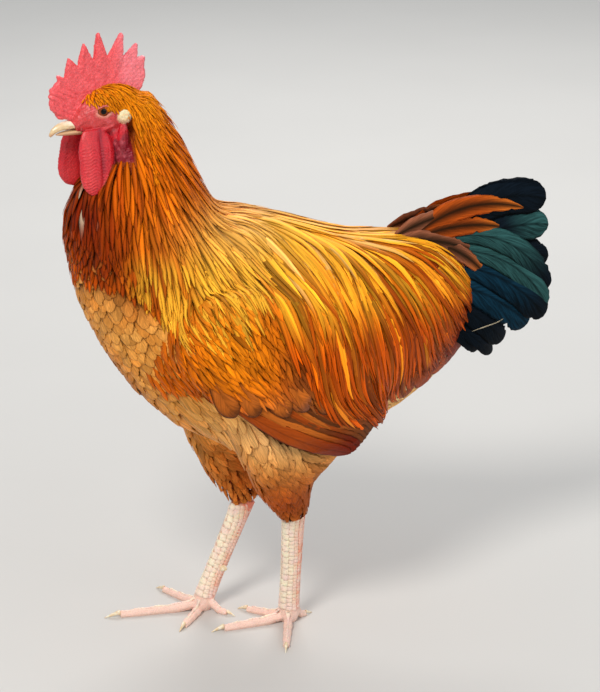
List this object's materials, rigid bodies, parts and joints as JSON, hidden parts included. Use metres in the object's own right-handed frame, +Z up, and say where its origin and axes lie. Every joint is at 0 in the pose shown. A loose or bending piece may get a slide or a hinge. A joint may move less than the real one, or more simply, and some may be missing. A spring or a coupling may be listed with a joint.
{
  "type": "rooster",
  "caption": "Standing male chicken, life size: single comb, wattles, hackle cape, folded wings, short fanned tail and bare scaled legs with spread toes.",
  "frame": {"origin": "middle of the bounding box in plan, on the floor under the bird", "axes": "+Z up; the bird faces -X, so its left side is towards -Y"},
  "size_m": [0.5152, 0.2226, 0.6243],
  "materials": {
    "golden_plumage": "glossy golden body feathers",
    "hackle": "glossy orange pointed neck feathers",
    "wing_plumage": "smooth brown-orange flight feathers",
    "buff_plumage": "soft buff fluff",
    "tail_plumage": "black feathers with a green-blue sheen",
    "red_skin": "bare red skin, granular and slightly shiny",
    "pale_lobe": "matt cream skin",
    "horn": "semi-gloss horn",
    "leg_scale": "scaled skin, cream and pink",
    "eye": "wet orange-brown iris with a dark pupil"
  },
  "bodies": {
    "root": {"head": "red_skin", "beak_upper": "horn", "beak_lower": "horn", "comb": "red_skin", "trunk": "golden_plumage", "neck": "hackle", "tail": "tail_plumage", "wattle_left": "red_skin", "earlobe_left": "pale_lobe", "lappet_left": "red_skin", "eye_left": "eye", "wing_left": "wing_plumage", "thigh_left": "buff_plumage", "shank_left": "leg_scale", "spur_left": "horn", "toe_middle_left": "leg_scale", "claw_middle_left": "horn", "toe_inner_left": "leg_scale", "claw_inner_left": "horn", "toe_outer_left": "leg_scale", "claw_outer_left": "horn", "toe_hind_left": "leg_scale", "claw_hind_left": "horn", "wattle_right": "red_skin", "earlobe_right": "pale_lobe", "lappet_right": "red_skin", "eye_right": "eye", "wing_right": "wing_plumage", "thigh_right": "buff_plumage", "shank_right": "leg_scale", "spur_right": "horn", "toe_middle_right": "leg_scale", "claw_middle_right": "horn", "toe_inner_right": "leg_scale", "claw_inner_right": "horn", "toe_outer_right": "leg_scale", "claw_outer_right": "horn", "toe_hind_right": "leg_scale", "claw_hind_right": "horn"}
  },
  "joints": []
}
